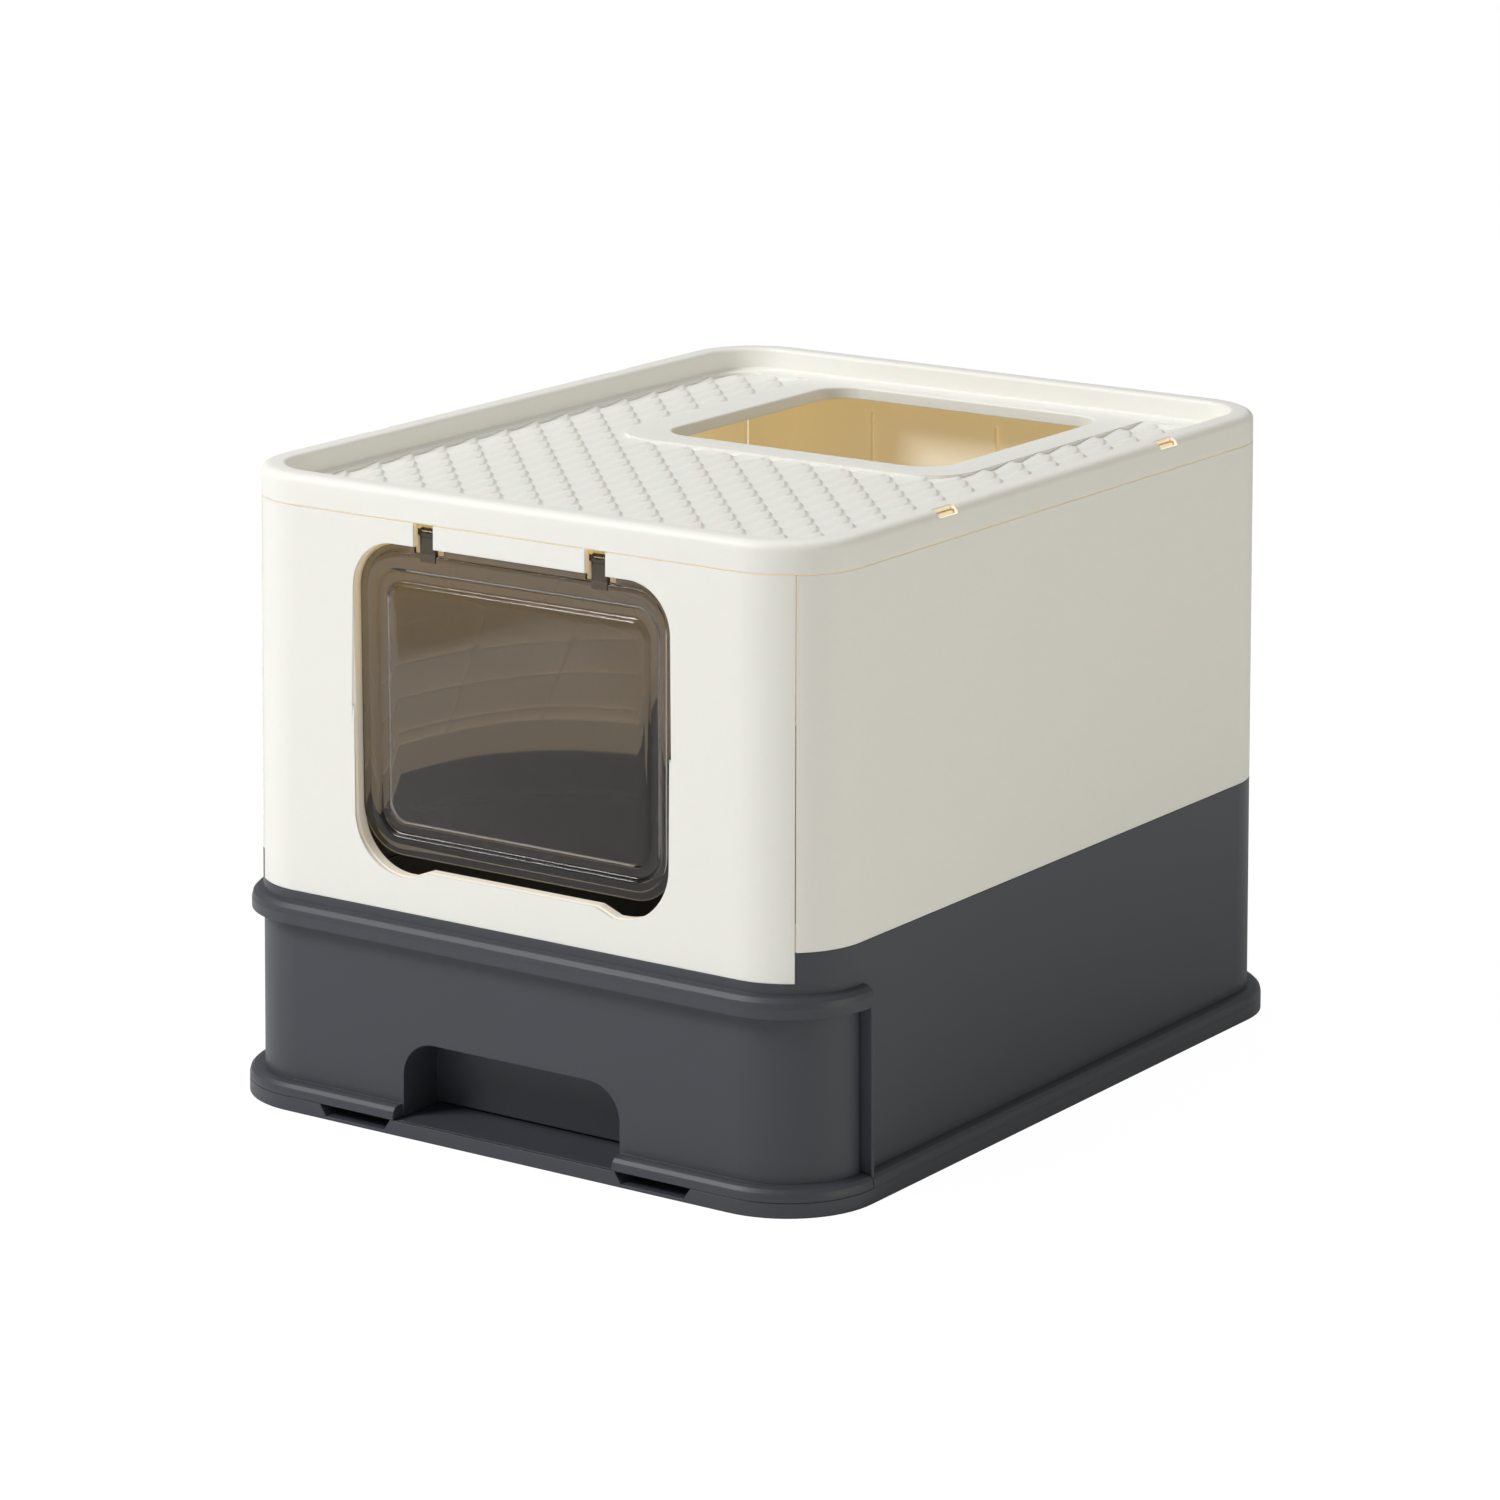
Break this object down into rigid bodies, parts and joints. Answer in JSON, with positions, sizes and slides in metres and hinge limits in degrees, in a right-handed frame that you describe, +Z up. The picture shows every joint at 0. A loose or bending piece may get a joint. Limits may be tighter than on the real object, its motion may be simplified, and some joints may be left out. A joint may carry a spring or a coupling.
{
  "type": "covered litter box",
  "caption": "Covered cat litter box with a top entry in its lift-off lid, a see-through hinged front flap and a pull-out litter drawer.",
  "frame": {"origin": "centre of the footprint on the floor, at the bottom of the base plate", "axes": "+Z up, +X to the right seen from the front, the flap and the drawer face -Y"},
  "size_m": [0.4, 0.5, 0.3508],
  "materials": {
    "cream_shell": "satin",
    "cream_lid": "satin",
    "grey_base": "satin",
    "smoked_clear": "gloss"
  },
  "bodies": {
    "base": {"base_plate": "grey_base", "base_frame": "grey_base", "front_panel": "cream_shell", "rear_panel": "cream_shell", "left_panel": "cream_shell", "right_panel": "cream_shell"},
    "flap": {"flap_door": "smoked_clear"},
    "drawer": {"drawer": "grey_base"},
    "lid": {"lid": "cream_lid"}
  },
  "joints": [
    {"name": "flap_hinge", "type": "hinge", "parent": "base", "child": "flap", "pos_m": [0, -0.2329, 0.3287], "axis": [1, 0, 0], "range_deg": [-85, 60]},
    {"name": "drawer_slide", "type": "slide", "parent": "base", "child": "drawer", "axis": [0, -1, 0], "range_m": [0, 0.36]},
    {"name": "lid_lift", "type": "slide", "parent": "base", "child": "lid", "axis": [0, 0, 1], "range_m": [0, 0.2]}
  ]
}
